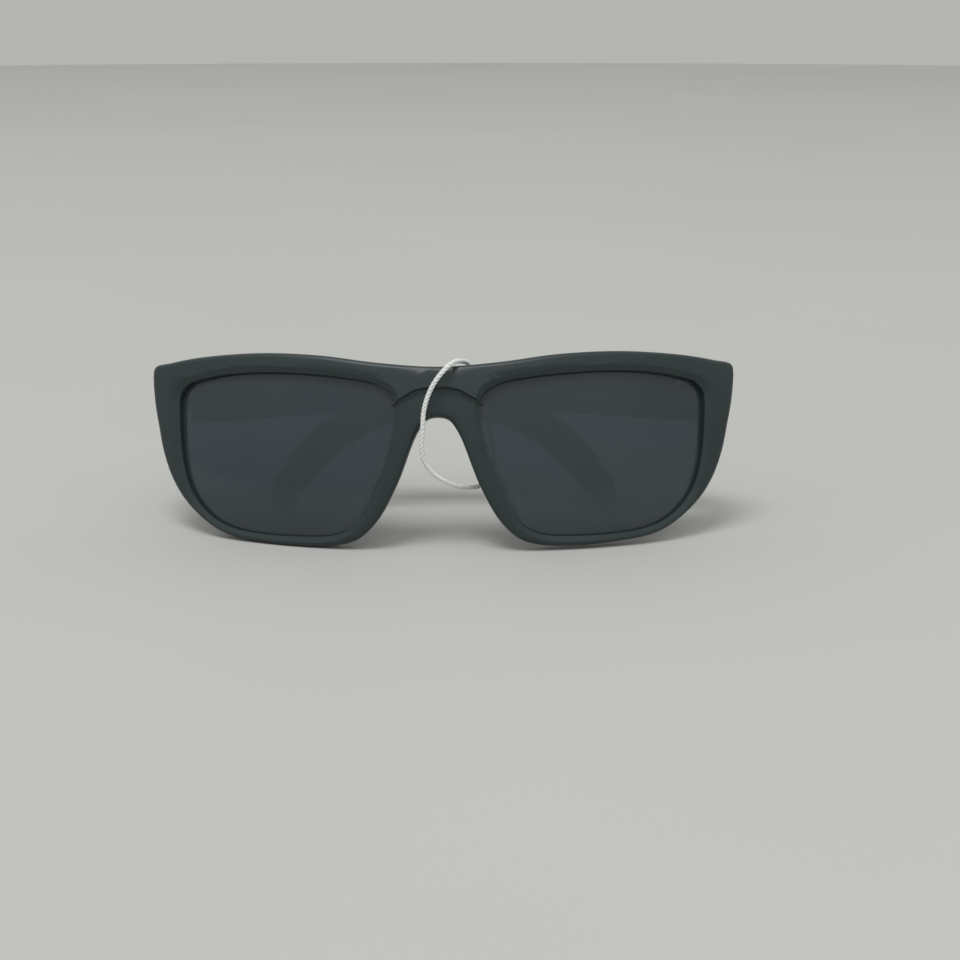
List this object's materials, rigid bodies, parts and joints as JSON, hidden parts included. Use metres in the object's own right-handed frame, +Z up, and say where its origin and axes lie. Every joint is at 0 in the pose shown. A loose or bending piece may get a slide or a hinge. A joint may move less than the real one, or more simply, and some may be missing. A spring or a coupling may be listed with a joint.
{
  "type": "sport_sunglasses",
  "caption": "Full-rim wraparound sport sunglasses with tinted lenses, hinged temples folded behind the front, soft ear sleeves and a white hang-tag cord over the bridge",
  "frame": {"origin": "centre of the bounding box's bottom face, on the surface the folded sunglasses stand on", "axes": "X across the front towards the wearer's left, the lenses face -Y, Z up"},
  "size_m": [0.1432, 0.0466, 0.0457],
  "materials": {
    "moulded_front": "satin injection-moulded dark slate plastic",
    "moulded_temple": "satin injection-moulded dark slate plastic",
    "smoke_lens": "polished smoke-tinted lens",
    "soft_rubber": "matt black elastomer",
    "hinge_leaf_steel": "stamped steel",
    "screw_steel": "bright plated screw",
    "rivet_steel": "plain steel rivet",
    "white_cord": "twisted white cord"
  },
  "bodies": {
    "front": {"front_frame": "moulded_front", "tag_cord": "white_cord", "cord_knot": "white_cord", "lens_left": "smoke_lens", "nose_pad_left": "soft_rubber", "hinge_front_leaf_left": "hinge_leaf_steel", "hinge_screw_left": "screw_steel", "front_rivet_lower_left": "rivet_steel", "front_rivet_upper_left": "rivet_steel", "lens_right": "smoke_lens", "nose_pad_right": "soft_rubber", "hinge_front_leaf_right": "hinge_leaf_steel", "hinge_screw_right": "screw_steel", "front_rivet_lower_right": "rivet_steel", "front_rivet_upper_right": "rivet_steel"},
    "temple_left": {"temple_arm_left": "moulded_temple", "ear_sleeve_left": "soft_rubber", "hinge_temple_leaf_left": "hinge_leaf_steel", "temple_rivet_lower_left": "rivet_steel", "temple_rivet_upper_left": "rivet_steel"},
    "temple_right": {"temple_arm_right": "moulded_temple", "ear_sleeve_right": "soft_rubber", "hinge_temple_leaf_right": "hinge_leaf_steel", "temple_rivet_lower_right": "rivet_steel", "temple_rivet_upper_right": "rivet_steel"}
  },
  "joints": [
    {"name": "temple_left_fold", "type": "hinge", "parent": "front", "child": "temple_left", "pos_m": [0.06359, 0.01203, 0.03103], "axis": [0.0112, -0.225, -0.9743], "range_deg": [0, 90.5]},
    {"name": "temple_right_fold", "type": "hinge", "parent": "front", "child": "temple_right", "pos_m": [-0.0634, 0.01203, 0.02957], "axis": [-0.0112, 0.225, 0.9743], "range_deg": [0, 85.4]}
  ]
}
